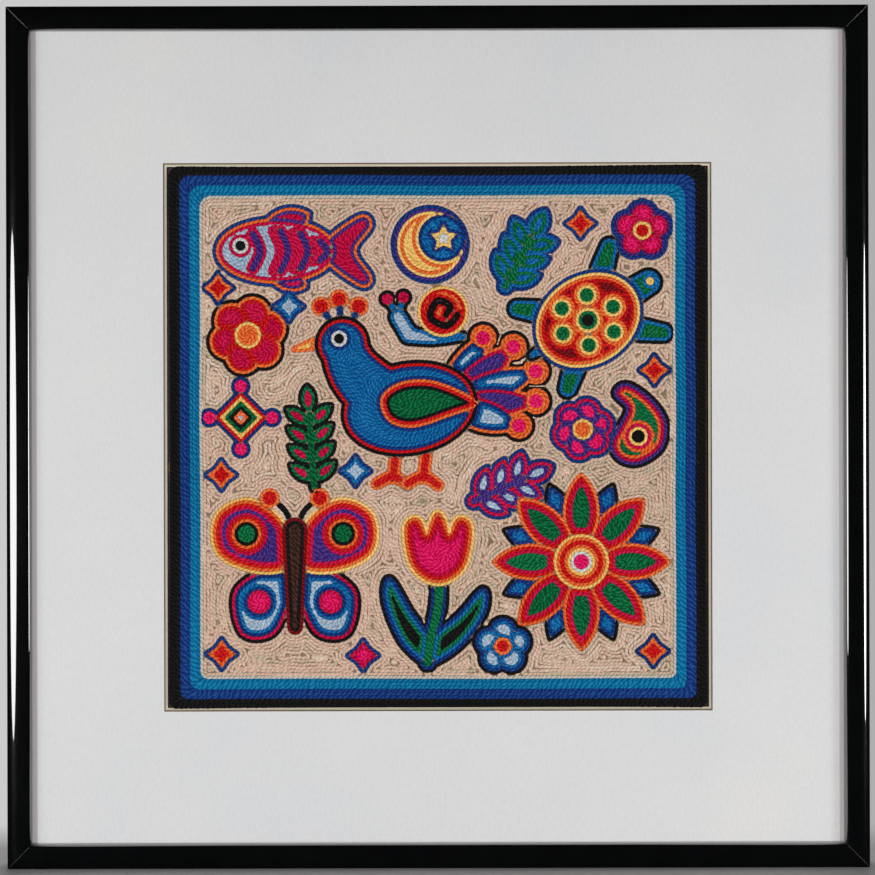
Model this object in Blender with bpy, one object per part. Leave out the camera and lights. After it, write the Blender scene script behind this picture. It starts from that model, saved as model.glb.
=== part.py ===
"""A framed yarn painting, standing on its bottom rail with the picture facing -Y.

Four mitred rails hold a window mat, a waxed board faced with yarn and a backing.
Metres, +Z up. The origin is the middle of the foot of the frame. Depths run back
from the frame's front, and the painting is laid out about its own middle.
"""

import math

import bmesh
import bpy

# The clearance kept between any two pieces
GAP = 0.0003

# The moulding, measured on the face and through the depth
SIGHT_SIDE = 0.4530
FACE_WIDTH = 0.0140
FRAME_SIDE = SIGHT_SIDE + 2 * FACE_WIDTH
FRAME_DEPTH = 0.0280
SHOULDER_WIDTH = 0.0068
SHOULDER_DROP = 0.0044
SHOULDER_STEPS = 9
LIP_RADIUS = 0.0026
LIP_STEPS = 6
LIP_DEPTH = 0.0050

# The sheets that lie in the rebate, front to back
SHEET_SIDE = 0.4572
MAT_THICKNESS = 0.0018
WINDOW_SIDE = 0.3061
BOARD_SIDE = 0.3048
BOARD_THICKNESS = 0.0060
BACKING_THICKNESS = 0.0030
REBATE_SIDE = SHEET_SIDE + 2 * GAP

# The yarn, pressed side by side into the wax
STRAND_HEIGHT = 0.0014
STRAND_RISE = 0.0008
BAND_STRANDS = 3
FIELD_EDGE_BEVEL = 0.0005

# Where one colour of the border meets the next: half width, half height, and the
# corner radii from the top right one round to the bottom right one
BOUNDARIES = {
    "black outside": (0.1497, 0.1506, (0.0020, 0.0042, 0.0016, 0.0018)),
    "black to dark blue": (0.1440, 0.1463, (0.0062, 0.0055, 0.0042, 0.0036)),
    "dark blue to turquoise": (0.1385, 0.1407, (0.0064, 0.0060, 0.0044, 0.0038)),
    "turquoise to field": (0.1330, 0.1351, (0.0064, 0.0067, 0.0046, 0.0040)),
}
CORNER_STEPS = 5
SIDE_STEPS = 8

# How far the hand-laid rows wander from straight, and how each side wanders
WANDER = 0.00025
WANDER_WAVES = ((1.5, 0.10), (2.0, 0.35), (1.0, 0.60), (2.5, 0.85))

# Depths of the sheets' front faces
MAT_FRONT = LIP_DEPTH + GAP
BOARD_FRONT = MAT_FRONT + MAT_THICKNESS + GAP
BACKING_FRONT = BOARD_FRONT + BOARD_THICKNESS + GAP
YARN_FOOT = BOARD_FRONT - GAP

# Colours as they look on a screen, 0 to 255, with roughness
FINISHES = {
    "black_lacquer": ((12, 12, 13), 0.12),
    "grey_mat": ((214, 213, 212), 0.85),
    "waxed_plywood": ((104, 82, 58), 0.45),
    "black_yarn": ((26, 26, 28), 0.85),
    "dark_blue_yarn": ((30, 63, 118), 0.85),
    "turquoise_yarn": ((18, 106, 148), 0.85),
    "beige_yarn": ((184, 163, 143), 0.85),
    "hardboard": ((112, 80, 54), 0.75),
}


def clear_scene():
    for found in list(bpy.data.objects):
        bpy.data.objects.remove(found, do_unlink=True)


def linear(channel):
    """One screen colour channel, 0 to 255, as the shader's linear value."""
    share = channel / 255
    return share / 12.92 if share <= 0.04045 else ((share + 0.055) / 1.055) ** 2.4


def finish(name):
    colour, roughness = FINISHES[name]
    made = bpy.data.materials.new(name)
    made.use_nodes = True
    shader = made.node_tree.nodes["Principled BSDF"]
    shader.inputs["Base Color"].default_value = (*map(linear, colour), 1.0)
    shader.inputs["Roughness"].default_value = roughness
    shader.inputs["Metallic"].default_value = 0.0
    return made


def mesh_of(name, shape, material):
    """A mesh from a bmesh, with its faces turned to point out."""
    bmesh.ops.recalc_face_normals(shape, faces=shape.faces)
    mesh = bpy.data.meshes.new(name)
    shape.to_mesh(mesh)
    shape.free()
    mesh.materials.append(material)
    return mesh


def place(name, mesh, location, turn=0.0):
    """Puts a mesh in the scene, turned about Y, which is the way it faces."""
    made = bpy.data.objects.new(name, mesh)
    made.location = location
    made.rotation_euler = (0.0, turn, 0.0)
    bpy.context.scene.collection.objects.link(made)
    return made


def at_depth(depth):
    """The world Y of a depth measured back from the frame's front."""
    return depth - FRAME_DEPTH / 2


def middle_of(front):
    """Where a sheet's object sits: the middle of the frame, at the sheet's front face."""
    return (0.0, at_depth(front), FRAME_SIDE / 2)


def join_sections(shape, sections, closed):
    """Skins corresponding rows of vertices, and caps both ends when not closed."""
    count = len(sections)
    for index in range(count if closed else count - 1):
        here = sections[index]
        there = sections[(index + 1) % count]
        for step in range(len(here)):
            follow = (step + 1) % len(here)
            shape.faces.new((here[step], there[step], there[follow], here[follow]))
    if not closed:
        shape.faces.new(sections[0])
        shape.faces.new(sections[-1])


def moulding_profile():
    """The rail's section as (distance in from the outer edge, depth) pairs."""
    points = [(0.0, FRAME_DEPTH)]
    for step in range(SHOULDER_STEPS + 1):
        angle = math.radians(90 * step / SHOULDER_STEPS)
        points.append(
            (
                SHOULDER_WIDTH * (1 - math.cos(angle)),
                SHOULDER_DROP * (1 - math.sin(angle)),
            )
        )
    for step in range(LIP_STEPS + 1):
        angle = math.radians(90 * step / LIP_STEPS)
        points.append(
            (
                FACE_WIDTH - LIP_RADIUS * (1 - math.sin(angle)),
                LIP_RADIUS * (1 - math.cos(angle)),
            )
        )
    rebate_edge = (FRAME_SIDE - REBATE_SIDE) / 2
    points.append((FACE_WIDTH, LIP_DEPTH))
    points.append((rebate_edge, LIP_DEPTH))
    points.append((rebate_edge, FRAME_DEPTH))
    return points


def rail_mesh():
    """One mitred rail lying along X, its outer edge at Z 0 and its lip below."""
    mitre_back = GAP / math.sqrt(2)
    shape = bmesh.new()
    ends = []
    for side in (-1, 1):
        ends.append(
            [
                shape.verts.new(
                    (
                        side * (FRAME_SIDE / 2 - inward - mitre_back),
                        at_depth(depth),
                        -inward,
                    )
                )
                for inward, depth in moulding_profile()
            ]
        )
    join_sections(shape, ends, closed=False)
    return mesh_of("rail", shape, finish("black_lacquer"))


def add_frame():
    half = FRAME_SIDE / 2
    mesh = rail_mesh()
    for side, location, turn in (
        ("top", (0.0, 0.0, FRAME_SIDE), 0.0),
        ("right", (half, 0.0, half), 90.0),
        ("bottom", (0.0, 0.0, 0.0), 180.0),
        ("left", (-half, 0.0, half), 270.0),
    ):
        place(f"frame_rail_{side}", mesh, location, math.radians(turn))


def square_loop(shape, half, depth):
    return [
        shape.verts.new((half * across, depth, half * up))
        for across, up in ((1, 1), (-1, 1), (-1, -1), (1, -1))
    ]


def add_mat():
    """A square sheet whose window is cut at 45 degrees, wider at the front."""
    shape = bmesh.new()
    outside = SHEET_SIDE / 2
    window = WINDOW_SIDE / 2
    loops = [
        square_loop(shape, outside, 0.0),
        square_loop(shape, window, 0.0),
        square_loop(shape, window - MAT_THICKNESS, MAT_THICKNESS),
        square_loop(shape, outside, MAT_THICKNESS),
    ]
    corners = [list(corner) for corner in zip(*loops)]
    join_sections(shape, corners, closed=True)
    mesh = mesh_of("mat_board", shape, finish("grey_mat"))
    place("mat_board", mesh, middle_of(MAT_FRONT))


def add_sheet(name, side, thickness, front, material):
    """A plain square board, with its front face at the given depth."""
    shape = bmesh.new()
    loops = [square_loop(shape, side / 2, depth) for depth in (0.0, thickness)]
    join_sections(shape, loops, closed=False)
    place(name, mesh_of(name, shape, finish(material)), middle_of(front))


def wander(side, along):
    """How far a hand-laid row strays outward, a share 0 to 1 along one side."""
    waves, phase = WANDER_WAVES[side]
    fade = math.sin(math.pi * along)
    return WANDER * fade * math.sin(2 * math.pi * (waves * along + phase))


def boundary_path(name, grow):
    """Points (x, z) round one boundary of the border, moved outward by grow."""
    half_x, half_z, radii = BOUNDARIES[name]
    stray = 0.0 if name == "black outside" else 1.0
    points = []
    signs = ((1, 1), (-1, 1), (-1, -1), (1, -1))
    for corner, (across, up) in enumerate(signs):
        radius = radii[corner]
        start = math.radians(90 * corner)
        for step in range(CORNER_STEPS + 1):
            angle = start + math.radians(90 * step / CORNER_STEPS)
            points.append(
                (
                    across * (half_x - radius) + (radius + grow) * math.cos(angle),
                    up * (half_z - radius) + (radius + grow) * math.sin(angle),
                )
            )
        normal = (math.cos(start + math.pi / 2), math.sin(start + math.pi / 2))
        next_radius = radii[(corner + 1) % 4]
        next_across, next_up = signs[(corner + 1) % 4]
        begin = points[-1]
        end = (
            next_across * (half_x - next_radius) + (next_radius + grow) * normal[0],
            next_up * (half_z - next_radius) + (next_radius + grow) * normal[1],
        )
        for step in range(1, SIDE_STEPS):
            along = step / SIDE_STEPS
            out = stray * wander(corner, along)
            points.append(
                (
                    begin[0] + (end[0] - begin[0]) * along + normal[0] * out,
                    begin[1] + (end[1] - begin[1]) * along + normal[1] * out,
                )
            )
    return points


def strand_profile():
    """(share across a band, height) pairs over the rounded backs of its strands."""
    valley = STRAND_HEIGHT - STRAND_RISE
    shoulder = STRAND_HEIGHT - 0.2 * STRAND_RISE
    points = []
    for strand in range(BAND_STRANDS):
        for share, height in (
            (0.0, valley),
            (0.2, shoulder),
            (0.5, STRAND_HEIGHT),
            (0.8, shoulder),
        ):
            points.append(((strand + share) / BAND_STRANDS, height))
    points.append((1.0, valley))
    return points


def add_band(name, outside, inside, material):
    """A closed band of yarn laid between two boundaries, one ridge for each strand."""
    shape = bmesh.new()
    outer_path = boundary_path(outside, -GAP / 2)
    inner_path = boundary_path(inside, GAP / 2)
    sections = []
    for outer, inner in zip(outer_path, inner_path):
        row = [shape.verts.new((outer[0], 0.0, outer[1]))]
        for share, height in strand_profile():
            x = outer[0] + (inner[0] - outer[0]) * share
            z = outer[1] + (inner[1] - outer[1]) * share
            row.append(shape.verts.new((x, -height, z)))
        row.append(shape.verts.new((inner[0], 0.0, inner[1])))
        sections.append(row)
    join_sections(shape, sections, closed=True)
    mesh = mesh_of(name, shape, finish(material))
    place(name, mesh, middle_of(YARN_FOOT))


def add_field():
    """The picture's ground: one flat layer of yarn inside the border."""
    shape = bmesh.new()
    loops = []
    for grow, height in (
        (-GAP / 2, 0.0),
        (-GAP / 2, STRAND_HEIGHT - FIELD_EDGE_BEVEL),
        (-GAP / 2 - FIELD_EDGE_BEVEL, STRAND_HEIGHT),
    ):
        path = boundary_path("turquoise to field", grow)
        loops.append([shape.verts.new((x, -height, z)) for x, z in path])
    join_sections(shape, loops, closed=False)
    mesh = mesh_of("yarn_field", shape, finish("beige_yarn"))
    place("yarn_field", mesh, middle_of(YARN_FOOT))


def add_painting():
    add_sheet(
        "painting_board", BOARD_SIDE, BOARD_THICKNESS, BOARD_FRONT, "waxed_plywood"
    )
    rows = list(BOUNDARIES)
    for colour, outside, inside in zip(
        ("black", "dark_blue", "turquoise"), rows, rows[1:]
    ):
        add_band(f"yarn_band_{colour}", outside, inside, f"{colour}_yarn")
    add_field()


def main():
    clear_scene()
    add_frame()
    add_mat()
    add_painting()
    add_sheet(
        "backing_board", SHEET_SIDE, BACKING_THICKNESS, BACKING_FRONT, "hardboard"
    )


main()
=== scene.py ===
import math

import bpy
import numpy as np
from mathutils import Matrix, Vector


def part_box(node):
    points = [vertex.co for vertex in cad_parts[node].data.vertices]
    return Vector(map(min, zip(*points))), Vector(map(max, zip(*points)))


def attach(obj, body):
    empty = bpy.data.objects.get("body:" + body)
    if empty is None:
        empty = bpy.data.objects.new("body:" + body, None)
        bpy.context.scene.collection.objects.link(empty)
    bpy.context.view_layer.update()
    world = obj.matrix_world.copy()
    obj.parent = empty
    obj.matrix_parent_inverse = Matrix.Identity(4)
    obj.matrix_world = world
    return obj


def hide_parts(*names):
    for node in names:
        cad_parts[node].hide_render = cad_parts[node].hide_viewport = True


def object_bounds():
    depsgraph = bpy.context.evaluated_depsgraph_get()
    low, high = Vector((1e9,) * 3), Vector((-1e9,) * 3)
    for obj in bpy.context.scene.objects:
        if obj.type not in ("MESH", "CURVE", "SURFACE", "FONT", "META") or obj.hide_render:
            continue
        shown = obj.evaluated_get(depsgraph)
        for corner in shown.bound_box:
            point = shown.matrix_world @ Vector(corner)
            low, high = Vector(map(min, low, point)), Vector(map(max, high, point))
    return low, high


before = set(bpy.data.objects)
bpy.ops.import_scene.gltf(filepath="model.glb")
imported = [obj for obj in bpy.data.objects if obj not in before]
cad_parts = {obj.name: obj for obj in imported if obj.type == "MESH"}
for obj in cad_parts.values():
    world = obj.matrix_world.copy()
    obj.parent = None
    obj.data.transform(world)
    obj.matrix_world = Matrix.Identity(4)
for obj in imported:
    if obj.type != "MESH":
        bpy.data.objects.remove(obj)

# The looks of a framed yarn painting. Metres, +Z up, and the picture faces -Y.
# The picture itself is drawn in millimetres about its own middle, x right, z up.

cad_low, cad_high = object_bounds()

# Driving sizes, as the construction has them
GAP = 0.0003
CHAMFER = 0.0003
FRAME_SIDE = cad_high.x - cad_low.x
FRAME_FRONT = cad_low.y
FRAME_BACK = cad_high.y
MIDDLE_HEIGHT = (cad_low.z + cad_high.z) / 2
FACE_WIDTH = 0.0140
SHOULDER_WIDTH = 0.0068
SHOULDER_DROP = 0.0044
LIP_RADIUS = 0.0026
LIP_DEPTH = 0.0050
LIP_EASE = 0.0002
SIDE_LINE = 0.012
SHOULDER_STEPS = 28
LIP_STEPS = 14
SHEET_SIDE = 0.4572
REBATE_EDGE = (FRAME_SIDE - SHEET_SIDE) / 2 - GAP

# The mitres: the gap in each, how far its arris is worn back, and where the wear is
# most as (distance in, spread, extra wear)
MITRE_GAP = 0.00004
ARRIS = 0.00009
TOP_WEAR = (0.0046, 0.0013, 0.00030)
BOTTOM_WEAR = (0.0042, 0.0004, 0.00018)

# The mat's narrow strips of painted shade, beside the rails' lips, start this far from its middle
SHADE_EDGE = 0.2240

mat_low, mat_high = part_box("mat_board")
board_low, board_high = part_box("painting_board")
field_low, field_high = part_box("yarn_field")
YARN_FOOT = field_high.y
YARN_CREST = field_low.y
STRAND_RISE = 0.0008
VALLEY = YARN_CREST + STRAND_RISE
WAX_INSET = 0.0012
WAX_GAP = 0.00005

# The border's boundaries: half width, half height, and the corner radii from the
# top right one round to the bottom right one
BOUNDARIES = {
    "black outside": (0.1497, 0.1506, (0.0020, 0.0042, 0.0016, 0.0018)),
    "black to dark blue": (0.1440, 0.1463, (0.0062, 0.0055, 0.0042, 0.0036)),
    "dark blue to turquoise": (0.1385, 0.1407, (0.0064, 0.0060, 0.0044, 0.0038)),
    "turquoise to field": (0.1330, 0.1351, (0.0064, 0.0067, 0.0046, 0.0040)),
}
BAND_STRANDS = 3
CORNER_POINTS = 13
SIDE_POINTS = 97
WANDER = 0.00025
WANDER_WAVES = ((1.5, 0.10), (2.0, 0.35), (1.0, 0.60), (2.5, 0.85))

# The yarn, in millimetres: the width of one strand, the length of one turn of its twist
# and how far its sections lie apart
MM = 0.001
ROW = 1.8
TWIST = 2.6
SECTION_STEP = 0.74

# The twist is uneven: each strand's own share of the length, and slow slips along it as
# (length of the slip, size in turns)
TWIST_SHARES = (0.86, 1.2)
SLIPS = ((14.0, 0.22), (6.0, 0.10))

# A strand's sway and swell: lengths of the waves, then shares of width and height
SWAY_WAVES = (9.0, 4.0)
WAVE_SHARES = (0.8, 1.3)
SWAY = 0.07
SWELL_WIDTH = 0.05
SWELL_HEIGHT = 0.07
PLY_RELIEF = 0.075
TUCKED = 0.12

# How wide a strand is pressed against its row, in the picture and in the border
FULLNESS = 1.14
BAND_FULLNESS = 1.16

# An open strand's ends: the rows that the taper takes, and the thinnest share
TAPER_ROWS = 1.1
THINNEST_END = 0.12

# How much of a strand's shade is its own; the rest goes with its sway
OWN_SHADE = 0.75

# The narrow middle of a patch gets a strand from this share of a row
RIDGE_SHARE = 0.12
SHORTEST_LOOP = 1.5
SHORTEST_STRAND = 2.0
EASE_PASSES = 3
GROUND_EASE_PASSES = 7
GROUND_YARNS = ("cream", "pale_grey")

# Tufts of fibre under the motifs: their height over the wax, one for each so many grid
# points, the rows from an edge to the first of them, their overlap and their shade
TUFT_RISE = 0.00018
TUFT_PITCH = 4
TUFT_ROWS = 0.75
TUFT_OVERLAP = 1.02
TUFT_SHADE = 0.4

MOST_TRIANGLES = 190000

RNG = np.random.default_rng(20)


# Small helpers for meshes and objects

def add_object(name, vertices, faces, replaced=(), smooth_angle=None):
    """A mesh object that rides on the frame, from point and face lists."""
    mesh = bpy.data.meshes.new(name)
    mesh.from_pydata([tuple(point) for point in vertices], [], faces)
    mesh.validate()
    if smooth_angle is not None:
        mesh.shade_smooth()
        mesh.set_sharp_from_angle(angle=math.radians(smooth_angle))
    return dress(name, mesh, replaced)


def dress(name, mesh, replaced):
    made = bpy.data.objects.new(name, mesh)
    bpy.context.scene.collection.objects.link(made)
    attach(made, "root")
    if replaced:
        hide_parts(*replaced)
    return made


# Small helpers for materials

def linear(channel):
    """One screen colour channel, 0 to 255, as the shader's linear value."""
    share = channel / 255
    return share / 12.92 if share <= 0.04045 else ((share + 0.055) / 1.055) ** 2.4


def screen(*channels):
    return (*(linear(channel) for channel in channels), 1.0)


class Nodes:
    """A node tree, with short calls for the nodes that are used here."""

    def __init__(self, tree, coordinates):
        self.nodes, self.links = tree.nodes, tree.links
        self.place = self.node("ShaderNodeTexCoord").outputs[coordinates]

    def node(self, kind, **values):
        made = self.nodes.new(kind)
        for name, value in values.items():
            setattr(made, name, value)
        return made

    def join(self, source, target):
        self.links.new(source, target)

    def fill(self, target, value):
        """Feeds a socket with another socket, or sets it to a value."""
        if isinstance(value, bpy.types.NodeSocket):
            self.join(value, target)
        else:
            target.default_value = value

    def math(self, operation, first, second=0.0, third=0.0, clamp=False):
        made = self.node("ShaderNodeMath", operation=operation, use_clamp=clamp)
        for index, value in enumerate((first, second, third)):
            self.fill(made.inputs[index], value)
        return made.outputs[0]

    def noise(self, scale, detail=4.0, roughness=0.55, place=None, stretch=None):
        made = self.node("ShaderNodeTexNoise")
        source = place or self.place
        if stretch:
            mapping = self.node("ShaderNodeMapping")
            mapping.inputs["Scale"].default_value = stretch
            self.join(source, mapping.inputs["Vector"])
            source = mapping.outputs["Vector"]
        for name, value in (("Scale", scale), ("Detail", detail), ("Roughness", roughness),
                            ("Vector", source)):
            self.fill(made.inputs[name], value)
        return made.outputs["Fac"]

    def ramp(self, source, *stops):
        """Runs a value through stops of a position and a screen colour."""
        made = self.node("ShaderNodeValToRGB")
        band = made.color_ramp
        while len(band.elements) < len(stops):
            band.elements.new(0.5)
        for element, (position, colour) in zip(band.elements, stops):
            element.position = position
            element.color = screen(*colour)
        self.join(source, made.inputs["Fac"])
        return made.outputs["Color"]

    def span(self, source, low, high, to_low=0.0, to_high=1.0):
        made = self.node("ShaderNodeMapRange")
        for name, value in (("Value", source), ("From Min", low), ("From Max", high),
                            ("To Min", to_low), ("To Max", to_high)):
            self.fill(made.inputs[name], value)
        return made.outputs["Result"]

    def mix(self, share, first, second, blend="MIX"):
        made = self.node("ShaderNodeMix", data_type="RGBA", blend_type=blend)
        colours = [socket for socket in made.inputs if socket.type == "RGBA"]
        for socket, value in zip((made.inputs[0], *colours), (share, first, second)):
            self.fill(socket, value)
        return next(out for out in made.outputs if out.type == "RGBA")

    def axes(self):
        made = self.node("ShaderNodeSeparateXYZ")
        self.join(self.place, made.inputs["Vector"])
        return made.outputs

    def bump(self, height, strength, distance, after=None):
        made = self.node("ShaderNodeBump")
        made.inputs["Strength"].default_value = strength
        made.inputs["Distance"].default_value = distance
        self.join(height, made.inputs["Height"])
        if after:
            self.join(after, made.inputs["Normal"])
        return made.outputs["Normal"]

    def blend(self, share, first, second):
        """One whole shader run into another."""
        made = self.node("ShaderNodeMixShader")
        for socket, source in zip(made.inputs, (share, first, second)):
            self.join(source, socket)
        return made.outputs["Shader"]


class Paint(Nodes):
    """One material, whose places are the object's own coordinates."""

    def __init__(self, name, colour, roughness):
        self.material = bpy.data.materials.new(name)
        self.material.use_nodes = True
        self.material.diffuse_color = screen(*colour)
        super().__init__(self.material.node_tree, "Object")
        self.shader = self.nodes["Principled BSDF"]
        self.use(Base_Color=screen(*colour), Roughness=roughness)

    def use(self, **sockets):
        """Feeds or sets the shader's own sockets, named with _ for a space."""
        for name, value in sockets.items():
            self.fill(self.shader.inputs[name.replace("_", " ")], value)
        return self.material


# Materials of the frame, the mat and the boards

def black_lacquer():
    """Gloss black, with a faint orange peel, rub marks and a duller back."""
    paint = Paint("black_lacquer", (5, 6, 7), 0.24)
    peel = paint.noise(420.0, 2.0)
    waves = paint.noise(28.0, 2.0)
    rubbed = paint.noise(90.0, 6.0, 0.7, stretch=(1.0, 1.0, 0.25))
    depth = paint.axes()["Y"]
    duller = paint.span(depth, FRAME_BACK - 0.0015, FRAME_BACK - 0.0002, 0.0, 0.35)
    shine = paint.span(rubbed, 0.35, 0.75, 0.18, 0.30)
    shoulder_end = FRAME_FRONT + SHOULDER_DROP
    coat = paint.span(depth, shoulder_end, shoulder_end + 0.004, 1.0, 0.10)
    coat_roughness = paint.span(depth, shoulder_end, shoulder_end + 0.004, 0.03, 0.38)
    roughness = paint.math("ADD", shine, duller, clamp=True)
    soft = paint.bump(waves, 0.05, 0.0004)
    normal = paint.bump(peel, 0.012, 0.0001, soft)
    tint = paint.ramp(paint.noise(60.0), (0.3, (4, 5, 6)), (0.75, (8, 9, 10)))
    return paint.use(Base_Color=tint, Roughness=roughness, Normal=normal, Coat_Normal=normal,
                     IOR=1.5, Specular_IOR_Level=0.12, Coat_Weight=coat,
                     Coat_Roughness=coat_roughness, Coat_IOR=2.6)


def mat_paper():
    """Pale grey paper face with painted shadow strips by the rails' lips at left and right, and the
    board's tan core where the bevel cuts it.
    """
    paint = Paint("mat_paper", (214, 213, 212), 0.9)
    across, depth, _ = paint.axes()
    into = paint.span(depth, mat_low.y, mat_high.y)
    cloudy = paint.noise(9.0, 3.0)
    fibres = paint.noise(700.0, 5.0, 0.65, stretch=(1.0, 1.0, 0.45))
    tooth = paint.noise(1500.0, 3.0)
    face = paint.ramp(cloudy, (0.3, (212, 213, 215)), (0.7, (219, 218, 217)))
    flecks = paint.ramp(fibres, (0.28, (206, 206, 206)), (0.62, (255, 255, 255)))
    face = paint.mix(0.18, face, flecks, "MULTIPLY")
    # Painted shadow of the rails' lips: the face darkens in a narrow strip along the mat's left and
    # right sides
    wander = paint.math("MULTIPLY_ADD", cloudy, 0.0006, paint.math("ABSOLUTE", across))
    shaded = paint.span(wander, SHADE_EDGE, SHADE_EDGE + 0.0003)
    face = paint.mix(shaded, face, screen(184, 179, 178))
    core = paint.ramp(into, (0.02, (96, 82, 64)), (0.30, (122, 107, 86)),
                      (0.42, (200, 188, 166)), (0.80, (226, 216, 196)),
                      (0.97, (236, 228, 214)))
    grain = paint.ramp(tooth, (0.35, (214, 206, 194)), (0.65, (255, 255, 255)))
    core = paint.mix(0.5, core, grain, "MULTIPLY")
    is_core = paint.math("COMPARE", into, 0.5, 0.492)
    colour = paint.mix(is_core, face, core)
    height = paint.math("ADD", fibres, paint.math("MULTIPLY", tooth, 0.6))
    normal = paint.bump(height, 0.35, 0.00012)
    return paint.use(Base_Color=colour, Normal=normal, Specular_IOR_Level=0.25)


def waxed_board():
    """Plywood with its layers on the edges, under brown wax on the face, and a thin painted shadow line
    round the edge of the mat's window.
    """
    paint = Paint("waxed_board", (86, 70, 52), 0.45)
    across, depth, up = paint.axes()
    into = paint.span(depth, board_low.y, board_high.y)
    layers = paint.math("FRACT", paint.math("MULTIPLY", into, 2.5))
    ply = paint.ramp(layers, (0.0, (150, 118, 80)), (0.46, (168, 136, 96)),
                     (0.54, (104, 74, 48)), (1.0, (128, 94, 62)))
    side = paint.span(across, -0.15, 0.15)
    wax = paint.ramp(side, (0.0, (70, 64, 57)), (1.0, (92, 67, 46)))
    smears = paint.noise(160.0, 6.0, 0.65)
    patches = paint.ramp(smears, (0.36, (120, 112, 104)), (0.66, (255, 250, 240)))
    wax = paint.mix(0.75, wax, patches, "MULTIPLY")
    bare = paint.noise(34.0, 3.0)
    bare = paint.span(bare, 0.60, 0.68)
    wax = paint.mix(paint.math("MULTIPLY", bare, 0.55, clamp=True), wax, screen(146, 112, 74))
    # A thin painted shadow line round the board, where the wax meets the mat's window edge; the smears
    # make it wander
    beside = paint.math("ABSOLUTE", across)
    above = paint.math("ABSOLUTE", paint.math("SUBTRACT", up, MIDDLE_HEIGHT))
    reach = paint.math("MAXIMUM", beside, above)
    gap_shadow = paint.math("ADD", reach, paint.math("MULTIPLY", smears, 0.0004))
    gap_shadow = paint.span(gap_shadow, 0.15052, 0.15082)
    wax = paint.mix(gap_shadow, wax, screen(12, 9, 7))
    on_face = paint.math("LESS_THAN", into, 0.02)
    colour = paint.mix(on_face, ply, wax)
    roughness = paint.span(smears, 0.3, 0.7, 0.32, 0.6)
    normal = paint.bump(smears, 0.5, 0.0004)
    return paint.use(Base_Color=colour, Roughness=roughness, Normal=normal)


def hardboard():
    """Brown pressed board: a fine screen print in the back, flecks and faint stains."""
    paint = Paint("hardboard", (112, 80, 54), 0.75)
    across, _, up = paint.axes()
    pitch = 0.0011
    mesh_x = paint.math("SINE", paint.math("MULTIPLY", across, 2 * math.pi / pitch))
    mesh_z = paint.math("SINE", paint.math("MULTIPLY", up, 2 * math.pi / pitch))
    screen_print = paint.math("MULTIPLY", mesh_x, mesh_z)
    flecks = paint.noise(900.0, 6.0, 0.7)
    clouds = paint.noise(7.0, 4.0)
    colour = paint.ramp(clouds, (0.3, (104, 73, 48)), (0.7, (124, 90, 62)))
    dark = paint.ramp(flecks, (0.34, (120, 108, 98)), (0.6, (255, 255, 255)))
    colour = paint.mix(0.7, colour, dark, "MULTIPLY")
    marks = paint.span(screen_print, -1.0, 1.0, 0.86, 1.0)
    colour = paint.mix(0.6, colour, marks, "MULTIPLY")
    coarse = paint.bump(screen_print, 0.4, 0.00012)
    normal = paint.bump(flecks, 0.3, 0.0001, coarse)
    return paint.use(Base_Color=colour, Normal=normal)


# Materials of the yarn. Each strand carries its own shade and its twist coordinates.

YARNS = {
    # name: (shaded side of the twist, body, lit side of the twist)
    "cream": ((176, 153, 137), (211, 190, 174), (232, 216, 202)),
    "pale_grey": ((146, 144, 140), (200, 199, 196), (226, 225, 222)),
    "black": ((7, 7, 8), (18, 17, 18), (38, 37, 38)),
    "brown": ((22, 12, 9), (56, 32, 26), (88, 58, 46)),
    "navy": ((6, 22, 76), (14, 46, 112), (40, 78, 148)),
    "dark_blue": ((6, 28, 88), (18, 54, 118), (48, 88, 156)),
    "turquoise": ((0, 70, 112), (2, 102, 148), (34, 142, 184)),
    "blue": ((0, 56, 108), (6, 92, 154), (44, 136, 192)),
    "purple": ((30, 14, 70), (62, 38, 118), (100, 76, 158)),
    "pale_blue": ((112, 130, 150), (158, 178, 198), (198, 212, 224)),
    "green": ((0, 46, 22), (0, 96, 52), (36, 136, 86)),
    "red": ((120, 0, 6), (194, 8, 18), (228, 50, 44)),
    "crimson": ((116, 0, 34), (190, 0, 56), (222, 42, 94)),
    "pink": ((158, 0, 58), (222, 4, 90), (242, 62, 128)),
    "dark_red": ((60, 2, 8), (110, 8, 18), (152, 38, 42)),
    "orange": ((172, 50, 12), (224, 94, 40), (244, 142, 76)),
    "yellow": ((186, 130, 50), (232, 184, 96), (250, 218, 144)),
    "white": ((150, 150, 148), (200, 200, 198), (226, 226, 224)),
}


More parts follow.
